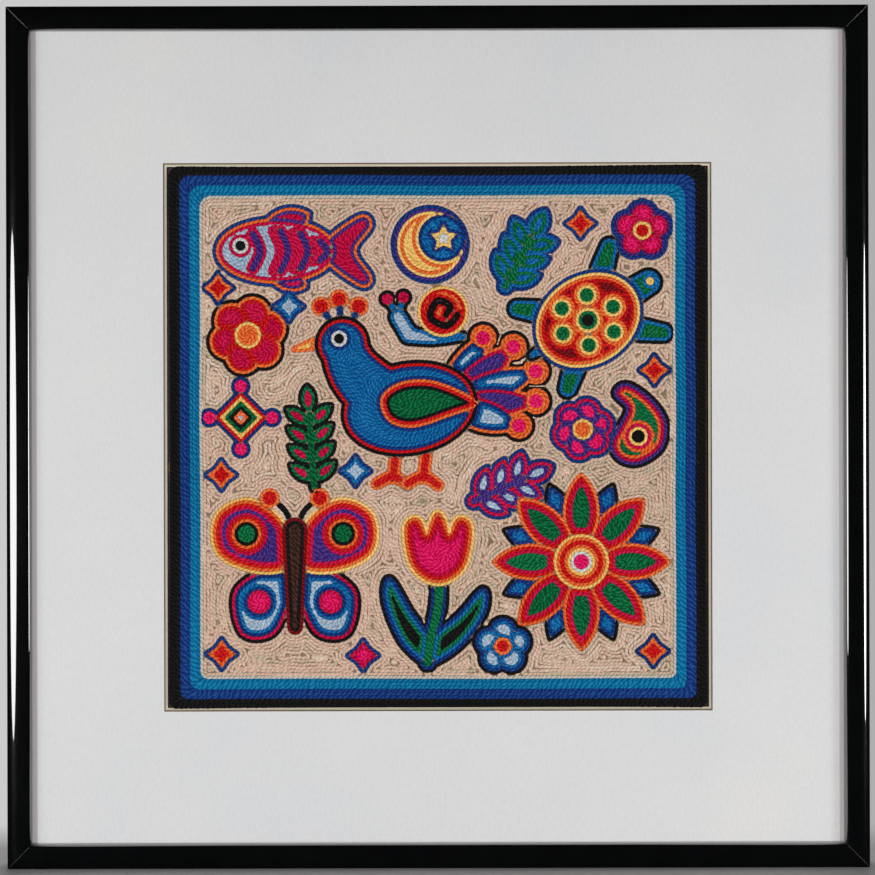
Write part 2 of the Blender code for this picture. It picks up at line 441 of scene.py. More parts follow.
def yarn(name):
    """Twisted yarn: painted shade and highlight along its plies' twist, fine fibres, and a shade of
    colour for each strand.
    """
    dark, body, light = YARNS[name]
    paint = Paint(f"yarn_{name}", body, 0.88)
    turns = paint.node("ShaderNodeUVMap", uv_map="twist").outputs["UV"]
    parts = paint.node("ShaderNodeSeparateXYZ")
    paint.join(turns, parts.inputs["Vector"])
    along, around = parts.outputs["X"], parts.outputs["Y"]
    shade = paint.node("ShaderNodeAttribute", attribute_name="shade").outputs["Fac"]
    wobble = paint.math("MULTIPLY", paint.noise(650.0, 3.0), 0.35)
    winding = paint.math("ADD", paint.math("SUBTRACT", along, around), wobble)
    ply = paint.math("SINE", paint.math("MULTIPLY", winding, 2 * math.pi))
    hairs = paint.node("ShaderNodeCombineXYZ")
    paint.join(paint.math("MULTIPLY", winding, 2.0), hairs.inputs["X"])
    paint.join(paint.math("MULTIPLY", around, 22.0), hairs.inputs["Y"])
    paint.join(shade, hairs.inputs["Z"])
    fibre = paint.noise(1.6, 4.0, 0.6, place=hairs.outputs["Vector"])
    # The ply wave paints shade and highlight along the twist, from the shaded side's colour to the lit
    # side's
    tone = paint.math("MULTIPLY_ADD", ply, 0.26, 0.5)
    tone = paint.math("ADD", tone, paint.math("MULTIPLY_ADD", fibre, 0.5, -0.25))
    tone = paint.math("ADD", tone, paint.math("MULTIPLY_ADD", shade, 0.22, -0.11), clamp=True)
    colour = paint.ramp(tone, (0.05, dark), (0.5, body),
                        (0.95, light))
    if name in GROUND_YARNS:
        blotch = paint.noise(130.0, 3.0)
        blend = paint.math("MULTIPLY_ADD", shade, 0.45, paint.math("MULTIPLY", blotch, 0.55))
        warm = paint.ramp(blend, (0.3, (232, 234, 218)), (0.42, (250, 240, 228)),
                          (0.55, (255, 232, 222)), (0.7, (255, 252, 246)))
        colour = paint.mix(0.9, colour, warm, "MULTIPLY")
    # Painted shade down each strand's two sides, where it dips between its neighbours
    edge = paint.math("MULTIPLY", around, paint.math("SUBTRACT", 1.0, around))
    edge = paint.span(edge, 0.02, 0.14, 0.90, 1.0)
    colour = paint.mix(1.0, colour, edge, "MULTIPLY")
    if name == "cream":
        specks = paint.ramp(paint.noise(900.0, 3.0, 0.6), (0.33, (120, 92, 70)),
                            (0.42, (255, 255, 255)))
        colour = paint.mix(0.5, colour, specks, "MULTIPLY")
    height = paint.math("ADD", paint.math("MULTIPLY", ply, 0.5), fibre)
    normal = paint.bump(height, 0.6, 0.00022)
    return paint.use(Base_Color=colour, Normal=normal, Sheen_Weight=0.02,
                     Sheen_Roughness=0.5, Specular_IOR_Level=0.12)


# The frame: four mitred rails with an elliptical shoulder and a round lip

def quarter_turn(steps):
    """Sine and cosine at even steps over a quarter turn."""
    angles = [math.radians(90 * step / steps) for step in range(steps + 1)]
    return [(math.sin(angle), math.cos(angle)) for angle in angles]


def moulding_section():
    """The rail's section as (distance in from the outer edge, depth) pairs."""
    back = FRAME_BACK - FRAME_FRONT
    points = [(0.0, back - CHAMFER), (0.0, SIDE_LINE)]
    points += [(SHOULDER_WIDTH * (1 - cosine), SHOULDER_DROP * (1 - sine))
               for sine, cosine in quarter_turn(SHOULDER_STEPS)]
    points += [(FACE_WIDTH - LIP_RADIUS * (1 - sine), LIP_RADIUS * (1 - cosine))
               for sine, cosine in quarter_turn(LIP_STEPS)]
    return points + [(FACE_WIDTH, LIP_DEPTH - LIP_EASE), (FACE_WIDTH - LIP_EASE, LIP_DEPTH),
                     (REBATE_EDGE, LIP_DEPTH), (REBATE_EDGE, back), (CHAMFER, back)]


def arris_wear(inward, at_top):
    """How far a mitre's arris is worn back, most where the shoulder meets the face."""
    middle, spread, most = TOP_WEAR if at_top else BOTTOM_WEAR
    return ARRIS + most * math.exp(-((inward - middle) / spread) ** 2)


def eased(section, amounts):
    """The same section drawn in by small amounts, for the worn arris of a mitre."""
    count = len(section)
    moved = []
    for index, (inward, depth) in enumerate(section):
        before = section[index - 1]
        after = section[(index + 1) % count]
        along = (after[0] - before[0], after[1] - before[1])
        length = math.hypot(*along)
        amount = amounts[index] / length
        moved.append((inward - along[1] * amount, depth + along[0] * amount))
    return moved


def rail_rows(ends_at_top):
    """Rows of (across, distance in, depth) along a rail, from its left mitre to its right."""
    half = FRAME_SIDE / 2
    section = moulding_section()
    stations = []
    for side, at_top in zip((-1, 1), ends_at_top):
        wear = [arris_wear(inward, at_top) for inward, _ in section]
        stations.append([(side * (half - inward - MITRE_GAP), inward, depth)
                         for inward, depth in eased(section, wear)])
        stations.append([(side * (half - inward - MITRE_GAP - worn), inward, depth)
                         for (inward, depth), worn in zip(section, wear)])
    left_mitre, left, right_mitre, right = stations
    between = [[(a[0] + (b[0] - a[0]) * share, *a[1:]) for a, b in zip(left, right)]
               for share in (0.25, 0.5, 0.75)]
    return [left_mitre, left, *between, right, right_mitre]


def loft_faces(rows, count):
    """Faces between rows of count points each, with one face over either end."""
    faces = [tuple(range(count))]
    for first in range(0, (rows - 1) * count, count):
        for step in range(count):
            follow = (step + 1) % count
            faces.append((first + step, first + count + step,
                          first + count + follow, first + follow))
    faces.append(tuple((rows - 1) * count + step for step in reversed(range(count))))
    return faces


def add_rails():
    lacquer = black_lacquer()
    ends_at_top = {"top": (True, True), "right": (True, False), "bottom": (False, False),
                   "left": (False, True)}
    for quarter, (name, ends) in enumerate(ends_at_top.items()):
        rows = rail_rows(ends)
        sine, cosine = math.sin(math.radians(90 * quarter)), math.cos(math.radians(90 * quarter))
        points = []
        for across, inward, depth in sum(rows, []):
            up = FRAME_SIDE / 2 - inward
            points.append((across * cosine + up * sine, FRAME_FRONT + depth,
                           MIDDLE_HEIGHT + up * cosine - across * sine))
        faces = loft_faces(len(rows), len(rows[0]))
        rail = add_object(f"lacquered_rail_{name}", points, faces,
                          (f"frame_rail_{name}",), 40)
        rail.data.materials.append(lacquer)


# Shapes of the picture: each is a box and a function that is negative inside

def off(x, z, reach, angle):
    """The point at a distance from (x, z), at an angle from straight right."""
    return x + reach * math.cos(angle), z + reach * math.sin(angle)


def box_round(points, margin):
    xs = [point[0] for point in points]
    zs = [point[1] for point in points]
    return (min(xs) - margin, min(zs) - margin, max(xs) + margin, max(zs) + margin)


def disc(x, z, radius):
    return box_round([(x, z)], radius), lambda X, Z: np.hypot(X - x, Z - z) - radius


def turned(X, Z, x, z, degrees):
    angle = math.radians(degrees)
    along = (X - x) * math.cos(angle) + (Z - z) * math.sin(angle)
    aside = (Z - z) * math.cos(angle) - (X - x) * math.sin(angle)
    return along, aside


def oval(x, z, half_length, half_width, degrees=0.0):
    def inside(X, Z):
        along, aside = turned(X, Z, x, z, degrees)
        reach = np.hypot(along / half_length, aside / half_width)
        return (reach - 1) * min(half_length, half_width)
    return box_round([(x, z)], max(half_length, half_width)), inside


def leaf(x, z, length, width, degrees):
    """A pointed leaf that starts at (x, z) and runs along degrees."""
    half = length / 2
    radius = (half ** 2 + (width / 2) ** 2) / width
    centre = radius - width / 2

    def inside(X, Z):
        along, aside = turned(X, Z, x, z, degrees)
        return np.hypot(along - half, np.abs(aside) + centre) - radius
    return box_round([(x, z), off(x, z, length, math.radians(degrees))], width / 2), inside


def flowing(points, closed=False, steps=6):
    """A smooth curve through the points."""
    points = [np.array(point, dtype=float) for point in points]
    count = len(points)
    curve = []
    for index in range(count if closed else count - 1):
        places = [index + step for step in (-1, 0, 1, 2)]
        if closed:
            places = [place % count for place in places]
        p0, p1, p2, p3 = (points[min(max(place, 0), count - 1)] for place in places)
        for step in range(steps):
            t = step / steps
            curve.append(0.5 * (2 * p1 + (p2 - p0) * t
                                + (2 * p0 - 5 * p1 + 4 * p2 - p3) * t ** 2
                                + (3 * p1 - p0 - 3 * p2 + p3) * t ** 3))
    return curve if closed else curve + [points[-1]]


def from_piece(X, Z, start, end):
    """How far along a straight piece each point lies, 0 to 1, and how far off it."""
    (ax, az), (bx, bz) = start, end
    length = (bx - ax) ** 2 + (bz - az) ** 2
    share = np.clip(((X - ax) * (bx - ax) + (Z - az) * (bz - az)) / length, 0, 1)
    return share, np.hypot(X - ax - share * (bx - ax), Z - az - share * (bz - az))


def stroke(points, start, end=None):
    """A line of yarn-like thickness that may taper from start to end radius."""
    end = start if end is None else end
    curve = flowing(points) if len(points) > 2 else points
    steps = len(curve) - 1

    def inside(X, Z):
        nearest = np.full(X.shape, FAR)
        for index in range(steps):
            share, gap = from_piece(X, Z, curve[index], curve[index + 1])
            radius = start + (end - start) * (index + share) / steps
            nearest = np.minimum(nearest, gap - radius)
        return nearest
    return box_round(curve, max(start, end)), inside


def outline(points, smooth=True):
    """A closed shape through the points, flowing or with straight sides."""
    corners = flowing(points, closed=True) if smooth else list(points)

    def inside(X, Z):
        nearest = np.full(X.shape, FAR)
        within = np.zeros(X.shape, dtype=bool)
        for (ax, az), (bx, bz) in zip(corners, corners[1:] + corners[:1]):
            nearest = np.minimum(nearest, from_piece(X, Z, (ax, az), (bx, bz))[1])
            if az != bz:
                crossed = (Z < az) != (Z < bz)
                within ^= crossed & (X < ax + (bx - ax) * (Z - az) / (bz - az))
        return np.where(within, -nearest, nearest)
    return box_round(corners, 0.0), inside


def star(x, z, outer, inner, rays):
    reaches = [outer, inner] * rays
    return outline([off(x, z, reach, math.radians(90 + 180 * index / rays))
                    for index, reach in enumerate(reaches)], smooth=False)


def placed(points, x, z, side=1):
    """The points of a motif, mirrored or not, set about (x, z)."""
    return [(x + side * a, z + b) for a, b in points]


def together(*shapes):
    boxes = np.array([box for box, _ in shapes])
    box = (*boxes[:, :2].min(axis=0), *boxes[:, 2:].max(axis=0))
    return box, lambda X, Z: np.minimum.reduce([inside(X, Z) for _, inside in shapes])


def grown(shape, amount):
    low_x, low_z, high_x, high_z = shape[0]
    box = (low_x - amount, low_z - amount, high_x + amount, high_z + amount)
    return box, lambda X, Z: shape[1](X, Z) - amount


# The picture's grid, on which every patch of colour is laid, in millimetres

FAR = 1e6
CELL = 0.4
MARGIN = 2.4

# An edge crosses between two grid points at least this share away from both
CUT_CLEAR = 0.02

# A ring's row reaches this many rows out, and its distances are measured a little past
# it, by a slope that is kept within limits
RING_REACH = 1.02
RING_MARGIN = 0.6
RING_SLOPES = (0.4, 2.5)

HALF_X = BOUNDARIES["turquoise to field"][0] / MM
HALF_Z = BOUNDARIES["turquoise to field"][1] / MM
GRID_X = np.arange(-HALF_X - MARGIN, HALF_X + MARGIN, CELL)
GRID_Z = np.arange(-HALF_Z - MARGIN, HALF_Z + MARGIN, CELL)


class Picture:
    """Patches laid over each other, and how far each grid point is from an edge."""

    def __init__(self):
        size = (len(GRID_Z), len(GRID_X))
        self.patch = np.zeros(size, dtype=int)
        self.cut_x = np.full((size[0], size[1] - 1), 0.5)
        self.cut_z = np.full((size[0] - 1, size[1]), 0.5)
        self.plans = [None]
        self.boxes = [None]
        self.rings = {}

    def window(self, shape, margin):
        """The part of the grid round a shape, and the shape's distances on it."""
        low_x, low_z, high_x, high_z = shape[0]
        first_x, last_x = np.searchsorted(GRID_X, (low_x - margin, high_x + margin))
        first_z, last_z = np.searchsorted(GRID_Z, (low_z - margin, high_z + margin))
        X, Z = np.meshgrid(GRID_X[first_x:last_x], GRID_Z[first_z:last_z])
        return (slice(first_z, last_z), slice(first_x, last_x)), shape[1](X, Z)

    def lay(self, shape, colours, ring=""):
        """Lays a patch: a row of each colour from its edge in, the last filling the rest."""
        if ring:
            self.ring(shape, ring)
        self.put(*self.window(shape, 2 * CELL), colours)

    def put(self, window, value, colours):
        """Lays a patch where the value is below nothing."""
        rows, columns = window
        self.plans.append(colours.split())
        self.boxes.append(window)
        self.patch[window][value < 0] = len(self.plans) - 1
        short_rows, short_columns = (slice(part.start, part.stop - 1) for part in window)
        for part, here, there in ((self.cut_x[rows, short_columns], value[:, :-1], value[:, 1:]),
                                  (self.cut_z[short_rows, columns], value[:-1, :], value[1:, :])):
            crossing = (here < 0) != (there < 0)
            span = np.where(crossing, here - there, 1.0)
            part[crossing] = np.clip((here / span)[crossing], CUT_CLEAR, 1 - CUT_CLEAR)

    def ring(self, shape, colours):
        """Lays one row of each colour round a shape, the innermost colour first."""
        names = colours.split()
        window, value = self.window(shape, (len(names) + RING_MARGIN) * ROW)
        slope_z, slope_x = np.gradient(value, CELL)
        value = value / np.clip(np.hypot(slope_x, slope_z), *RING_SLOPES)
        for step in reversed(range(len(names))):
            self.put(window, value - (step + RING_REACH) * ROW, names[step])
            self.rings[len(self.plans) - 1] = (step + 0.5) * ROW - value

    def depths(self):
        """The distance of each grid point from the nearest edge of its own patch, mm."""
        rows, columns = self.patch.shape
        row, column = np.mgrid[0:rows, 0:columns].astype(float)
        seed_r = np.full(self.patch.shape, 1e5)
        seed_c = np.full(self.patch.shape, 1e5)
        best = np.full(self.patch.shape, 1e11)

        def offer(part, r, c):
            far = (r - row[part]) ** 2 + (c - column[part]) ** 2
            closer = far < best[part]
            best[part] = np.where(closer, far, best[part])
            seed_r[part] = np.where(closer, r, seed_r[part])
            seed_c[part] = np.where(closer, c, seed_c[part])

        changes_x = self.patch[:, :-1] != self.patch[:, 1:]
        changes_z = self.patch[:-1, :] != self.patch[1:, :]
        at_c = np.where(changes_x, column[:, :-1] + self.cut_x, 1e5)
        at_r = np.where(changes_z, row[:-1, :] + self.cut_z, 1e5)
        for part in (slice(0, -1), slice(1, None)):
            offer((slice(None), part), row[:, part], at_c)
        for part in (slice(0, -1), slice(1, None)):
            offer((part, slice(None)), at_r, column[part, :])
        around = [(up, across) for up in (-1, 0, 1) for across in (-1, 0, 1) if up or across]
        for jump in (1, 64, 32, 16, 8, 4, 2, 1, 1):
            for way in around:
                moves = [(jump * step, size) for step, size in zip(way, (rows, columns))]
                to = tuple(slice(max(by, 0), size + min(by, 0)) for by, size in moves)
                start = tuple(slice(max(-by, 0), size + min(-by, 0)) for by, size in moves)
                offer(to, seed_r[start].copy(), seed_c[start].copy())
        return np.sqrt(best) * CELL


# The strands: level lines of the depth, joined up into rows

EDGE_TURNS = {
    # corners inside the line, as bits low left, low right, high right, high left:
    # the cell edges where the line comes in and goes out
    1: ((3, 0),), 2: ((0, 1),), 3: ((3, 1),), 4: ((1, 2),), 5: ((3, 0), (1, 2)),
    6: ((0, 2),), 7: ((3, 2),), 8: ((2, 3),), 9: ((2, 0),), 10: ((0, 1), (2, 3)),
    11: ((2, 1),), 12: ((1, 3),), 13: ((1, 0),), 14: ((0, 3),),
}


def level_lines(values, level):
    """Closed lines where the values cross the level, as arrays of (column, row)."""
    rows, columns = values.shape
    high = values >= level
    case = high[:-1, :-1] + 2 * high[:-1, 1:] + 4 * high[1:, 1:] + 8 * high[1:, :-1]
    cell_r, cell_c = np.nonzero((case > 0) & (case < 15))
    onward = {}
    for r, c in zip(cell_r.tolist(), cell_c.tolist()):
        corner = r * columns + c
        keys = (2 * corner, 2 * (corner + 1) + 1, 2 * (corner + columns), 2 * corner + 1)
        for enter, leave in EDGE_TURNS[int(case[r, c])]:
            onward[keys[enter]] = keys[leave]
    lines = []
    while onward:
        start, step = onward.popitem()
        keys = [start]
        while step in onward:
            keys.append(step)
            step = onward.pop(step)
        if step != start or len(keys) < 6:
            continue
        keys = np.array(keys)
        corner, upright = keys // 2, keys % 2
        r, c = corner // columns, corner % columns
        here = values[r, c]
        there = values[r + upright, c + (1 - upright)]
        share = np.clip((level - here) / np.where(there == here, 1.0, there - here), 0.0, 1.0)
        lines.append(np.stack([c + share * (1 - upright), r + share * upright], axis=1))
    return lines


def highest_near(values, reach=2):
    """The highest value within a few grid points of each one."""
    for axis in (0, 1):
        values = np.maximum.reduce([np.roll(values, step, axis) for step in range(-reach, reach + 1)])
    return values


def kept_pieces(line, keep, nearly_all=0.97, fewest=6):
    """The parts of a closed line to keep, each with whether it still closes."""
    if keep.mean() > nearly_all:
        yield line, True
        return
    if not keep.any():
        return
    turn = int(np.argmin(keep))
    line, keep = np.roll(line, -turn, axis=0), np.roll(keep, -turn)
    edges = np.flatnonzero(np.diff(np.concatenate([[0], keep.astype(int), [0]])))
    for start, stop in edges.reshape(-1, 2):
        if stop - start >= fewest:
            yield line[start:stop], False


def at_points(line, values):
    return values[np.rint(line[:, 1]).astype(int), np.rint(line[:, 0]).astype(int)]


def ridge_lines(values, row):
    """Lines for the narrow places that no whole row reaches, open or closed."""
    near = highest_near(values)
    for line in level_lines(values, (row + RIDGE_SHARE) * ROW):
        yield from kept_pieces(line, at_points(line, near) < (row + 0.5) * ROW)


def drifted(values, waves=14, pitches=(8.0, 17.0), drift=0.12):
    """The depths with slow drifts added, so that the ground's rows wander as laid by hand."""
    rows, columns = values.shape
    row, column = np.mgrid[0:rows, 0:columns] * CELL
    total = np.zeros(values.shape)
    for _ in range(waves):
        way = RNG.uniform(0, 2 * math.pi)
        pitch = RNG.uniform(*pitches)
        phase = RNG.uniform(0, 2 * math.pi)
        total += np.sin(2 * math.pi * (column * math.cos(way) + row * math.sin(way)) / pitch + phase)
    return values + drift * total * np.clip((values - ROW) / ROW, 0.0, 1.0)


def eased_loop(points, passes):
    for _ in range(passes):
        points = 0.5 * points + 0.25 * (np.roll(points, 1, axis=0) + np.roll(points, -1, axis=0))
    return points


def running(points):
    """The length run along a line at each of its points."""
    return np.concatenate([[0.0], np.cumsum(np.hypot(*np.diff(points, axis=0).T))])


def evenly(points, closed, least=8):
    """Points spaced evenly along a line, and the line's length."""
    if closed:
        points = np.vstack([points, points[:1]])
    run = running(points)
    count = max(least, int(round(run[-1] / SECTION_STEP)))
    at = np.linspace(0.0, run[-1], count, endpoint=not closed)
    return np.stack([np.interp(at, run, points[:, axis]) for axis in (0, 1)], axis=1), run[-1]


def wave_count(length, reach):
    return max(1, round(length / reach / RNG.uniform(*WAVE_SHARES)))


class Yarn:
    """Strands of one colour, gathered into one mesh."""

    SIDES = 5

    def __init__(self):
        self.points, self.faces, self.twists, self.shades, self.caps = [], [], [], [], []
        self.count = 0

    def add(self, path, length, closed, half_width):
        """Sweeps a flattened round section along the path, millimetres about the middle."""
        count, sides = len(path), self.SIDES
        sections = count if closed else count - 1
        if closed:
            ahead = np.roll(path, -1, axis=0) - np.roll(path, 1, axis=0)
        else:
            ahead = np.gradient(path, axis=0)
        ahead /= np.maximum(np.hypot(ahead[:, 0], ahead[:, 1]), 1e-9)[:, None]
        aside = np.stack([ahead[:, 1], -ahead[:, 0]], axis=1)
        share = np.arange(count) / sections
        turns = max(1, round(length / TWIST / RNG.uniform(*TWIST_SHARES)))
        wound = share * turns
        for reach, slip in SLIPS:
            waves = wave_count(length, reach)
            wound += slip * np.sin(2 * math.pi * (waves * share + RNG.uniform(0, 1)))
        sway, swell = np.zeros(count), np.zeros(count)
        for reach in SWAY_WAVES:
            waves = wave_count(length, reach)
            start = RNG.uniform(0, 2 * math.pi, 2)
            sway += 0.5 * np.sin(2 * math.pi * waves * share + start[0])
            swell += 0.5 * np.sin(2 * math.pi * (waves + 1) * share + start[1])
        width = np.broadcast_to(half_width, (count,)) * (1 + SWELL_WIDTH * swell)
        high = STRAND_RISE / MM * (1 + SWELL_HEIGHT * swell)
        if not closed:
            taper = np.minimum(share, 1 - share) * length / (TAPER_ROWS * ROW)
            ends = np.clip(taper, THINNEST_END, 1.0) ** 0.5
            width, high = width * ends, high * ends
        path = path + aside * (SWAY * sway)[:, None]
        angle = np.linspace(0.0, math.pi, sides)[None, :]
        lobes = 1 + PLY_RELIEF * np.cos(2 * angle - 2 * math.pi * wound[:, None])
        over = np.cos(angle) * lobes * width[:, None]
        up = np.sin(angle) * lobes * high[:, None]
        up[:, (0, -1)] = -TUCKED
        x, z = (path[:, axis, None] + aside[:, axis, None] * over for axis in (0, 1))
        points = np.stack([x * MM, VALLEY - up * MM, MIDDLE_HEIGHT + z * MM], axis=2)
        self.points.append(points.reshape(-1, 3))
        here = np.arange(sections)[:, None]
        there = (here + 1) % count
        side = np.arange(sides)[None, :]
        after = (side + 1) % sides
        quads = np.stack([row * sides + edge for row, edge in
                          ((here, side), (here, after), (there, after), (there, side))], axis=2)
        self.faces.append(quads.reshape(-1, 4) + self.count)
        wound_next = np.append(wound[1:], wound[0] + turns)
        twist = np.zeros((sections, sides, 4, 2))
        twist[..., :2, 0] = wound[:sections, None, None]
        twist[..., 2:, 0] = wound_next[:sections, None, None]
        twist[..., (0, 3), 1] = (side / (sides - 1))[..., None]
        twist[..., (1, 2), 1] = (after / (sides - 1))[..., None]
        self.twists.append(twist.reshape(-1, 2))
        shade = RNG.uniform(0, 1) * OWN_SHADE + (1 - OWN_SHADE) * (0.5 + 0.5 * sway)
        self.shades.append(np.repeat(shade, sides))
        if not closed:
            first, last = self.count, self.count + (count - 1) * sides
            for a, b, c in ((0, 2, 1), (0, 3, 2), (0, 4, 3)):
                self.caps += [(first + a, first + b, first + c), (last + a, last + c, last + b)]
        self.count += count * sides

    def add_tufts(self, spots, half):
        """Flat squares of fibre at the given points, seen only where rows part."""
        count = len(spots)
        corner = np.array([(-half, -half), (-half, half), (half, half), (half, -half)])
        flat = spots[:, None, :] + corner[None, :, :]
        points = np.stack([flat[..., 0] * MM, np.full(flat.shape[:2], VALLEY - TUFT_RISE),
                           MIDDLE_HEIGHT + flat[..., 1] * MM], axis=2)
        self.points.append(points.reshape(-1, 3))
        self.faces.append(np.arange(4 * count).reshape(-1, 4)[:, ::-1] + self.count)
        twist = np.stack([(flat[..., 0] + flat[..., 1]) / TWIST, 0.5 + 0.1 * flat[..., 1] % 0.1], axis=2)
        self.twists.append(twist[:, ::-1].reshape(-1, 2))
        self.shades.append(np.full(4 * count, TUFT_SHADE))
        self.count += 4 * count

    def build(self, name, colour, replaced):
        points = np.concatenate(self.points)
        quads = np.concatenate(self.faces)
        caps = np.array(self.caps, dtype=int).reshape(-1, 3)
        corners = np.concatenate([quads.ravel(), caps.ravel()])
        starts = np.concatenate([np.arange(0, quads.size, 4),
                                 quads.size + np.arange(0, caps.size, 3)])
        mesh = bpy.data.meshes.new(name)
        mesh.vertices.add(len(points))
        mesh.vertices.foreach_set("co", points.astype(np.float32).ravel())
        mesh.loops.add(corners.size)
        mesh.loops.foreach_set("vertex_index", corners.astype(np.int32))
        mesh.polygons.add(len(starts))
        mesh.polygons.foreach_set("loop_start", starts.astype(np.int32))
        mesh.update(calc_edges=True)
        uv = mesh.uv_layers.new(name="twist")
        twists = np.concatenate(self.twists + [np.zeros((caps.size, 2))])
        uv.uv.foreach_set("vector", twists.astype(np.float32).ravel())
        shade = mesh.attributes.new("shade", "FLOAT", "POINT")
        shade.data.foreach_set("value", np.concatenate(self.shades).astype(np.float32))
        mesh.shade_smooth()
        made = dress(name, mesh, replaced)
        made.data.materials.append(yarn(colour))
        return made


# The border: three strands of each colour, laid between its two boundaries

def boundary_path(name):
    """Points (x, z) in mm round one boundary, with even counts for every boundary."""
    half_x, half_z, radii = BOUNDARIES[name]
    stray = 0.0 if name == "black outside" else WANDER
    middles = [(across * (half_x - radius), up * (half_z - radius))
               for (across, up), radius in zip(((1, 1), (-1, 1), (-1, -1), (1, -1)), radii)]
    points = []
    for corner, (waves, phase) in enumerate(WANDER_WAVES):
        follow = (corner + 1) % 4
        start = math.radians(90 * corner)
        points += [off(*middles[corner], radii[corner], angle)
                   for angle in start + np.radians(np.linspace(0, 90, CORNER_POINTS))]
        normal = (math.cos(start + math.pi / 2), math.sin(start + math.pi / 2))
        begin, end = points[-1], off(*middles[follow], radii[follow], start + math.pi / 2)
        for along in np.linspace(0, 1, SIDE_POINTS)[1:-1]:
            out = stray * math.sin(math.pi * along) * math.sin(2 * math.pi * (waves * along + phase))
            points.append([a + (b - a) * along + way * out for a, b, way in zip(begin, end, normal)])
    return np.array(points) / MM


def add_border():
    names = list(BOUNDARIES)
    for colour, outside, inside in zip(("black", "dark_blue", "turquoise"), names, names[1:]):
        outer, inner = boundary_path(outside), boundary_path(inside)
        across = np.hypot(*(inner - outer).T)
        band = Yarn()
        for strand in range(BAND_STRANDS):
            path = outer + (inner - outer) * ((strand + 0.5) / BAND_STRANDS)
            even, length = evenly(path, closed=True)
            at = np.linspace(0.0, length, len(even), endpoint=False)
            width = np.interp(at, running(path), across) / BAND_STRANDS / 2 * BAND_FULLNESS
            band.add(even, length, True, width)
        band.build(f"border_yarn_{colour}", colour, (f"yarn_band_{colour}",))


# The picture: a made-up arrangement of ordinary folk motifs on a cream ground

def draw_bird(picture):
    root = (4, 18)
    blue, purple = "navy blue pale_blue", "crimson purple"
    feathers = ((60, 43, blue), (40, 50, purple), (20, 54, blue), (2, 51, purple), (-16, 43, blue))
    shapes = [leaf(*root, length, 15, degrees) for degrees, length, _ in feathers]
    tips = [disc(*off(*root, length, math.radians(degrees)), 5.6) for degrees, length, _ in feathers]
    picture.ring(together(*shapes, *tips), "orange black")
    for shape, (_, _, colours) in zip(shapes, feathers):
        picture.lay(shape, colours)
    for tip in tips:
        picture.lay(tip, "orange pink")
    for x in (-23, -6):
        leg = stroke([(x, -4), (x - 2, -23)], 1.9)
        toes = stroke([(x - 11, -26), (x - 2, -22), (x + 6, -27)], 1.8)
        picture.lay(together(leg, toes), "red", "orange")
    for base, tip in (((-58, 62), (-65, 73)), ((-54, 64), (-55, 77)), ((-49, 62), (-44, 73))):
        picture.ring(disc(*tip, 3.7), "orange")
        picture.lay(stroke([base, tip], 1.8), "navy")
        picture.lay(disc(*tip, 3.7), "red")
    picture.lay(stroke([(-62, 54), (-80, 49)], 5.2, 1.8), "orange yellow")
    neck = stroke([(-32, 22), (-46, 36), (-53, 51)], 16, 10)
    picture.lay(together(oval(-16, 16, 35, 23, 10), neck, disc(-53, 52, 12)), "navy blue", "red black")
    picture.lay(disc(-55, 55, 4.6), "white black")
    picture.lay(outline([(-32, 22), (-20, 31), (0, 31), (23, 19), (6, 11), (-14, 5), (-28, 9)]),
                "orange red black green")


def draw_fish(picture):
    z = 104
    tail = outline([(-64, z), (-44, 122), (-38, 118), (-47, z), (-38, 89), (-44, 86)])
    fins = together(leaf(-98, 112, 28, 15, 26), leaf(-94, 95, 22, 12, -28))
    body = oval(-90, z, 32, 16.5)
    picture.ring(together(tail, fins, body), "orange navy")
    picture.lay(together(tail, fins), "purple crimson")
    picture.lay(body, "crimson pale_blue")

    def stripe(x, half, bend, radius, colour):
        picture.lay(stroke([(x, z + half), (x + bend, z), (x, z - half)], radius), colour)

    for step, half in enumerate((11, 9.6, 5.2)):
        x = -91 + 11 * step
        stripe(x, half, 4, 1.9, "crimson")
        stripe(x + 3.6, half, 4, 1.8, "purple")
    stripe(-103, 9.5, 4, 1.9, "purple")
    picture.lay(disc(-110, 107, 4.6), "white black")


def draw_star_flower(picture):
    x, z = 80, -70
    ways = [45 * index + 22.5 for index in range(8)]
    rays = [leaf(*off(x, z, 10, math.radians(degrees)), 36, 13, degrees) for degrees in ways]
    picture.ring(together(*rays), "black")
    for ray in rays:
        picture.lay(ray, "navy blue")
    for degrees in range(0, 360, 45):
        petal = leaf(*off(x, z, 8, math.radians(degrees)), 40, 17, degrees)
        picture.lay(petal, "red crimson green", "orange")
    picture.lay(disc(x, z, 15.5), "yellow orange red black")
    picture.lay(disc(x, z, 6), "white pink")


def draw_butterfly(picture):
    x, z = -80, -72
    upper = [(3, 3), (9, 24), (26, 35), (42, 27), (41, 8), (20, -1)]
    lower = [(3, -3), (20, -5), (33, -16), (29, -37), (13, -37), (4, -18)]
    for side in (1, -1):
        wing = outline(placed(lower, x, z, side))
        picture.lay(wing, "navy blue pale_blue", "crimson black")
        picture.lay(disc(x + side * 20, z - 20, 6.6), "crimson pink")
    for side in (1, -1):
        wing = outline(placed(upper, x, z, side))
        picture.lay(wing, "red crimson purple", "orange yellow")
        picture.lay(disc(x + side * 27, z + 18, 8.4), "orange black green")
        feeler = placed([(0, 16), (5, 30), (14, 38)], x, z, side)
        picture.lay(stroke(feeler, 1.8), "black")
        picture.lay(disc(*feeler[-1], 3.7), "red", "orange")
    picture.lay(stroke([(x, z + 20), (x, z - 34)], 5.2, 2.6), "black brown", "dark_red")


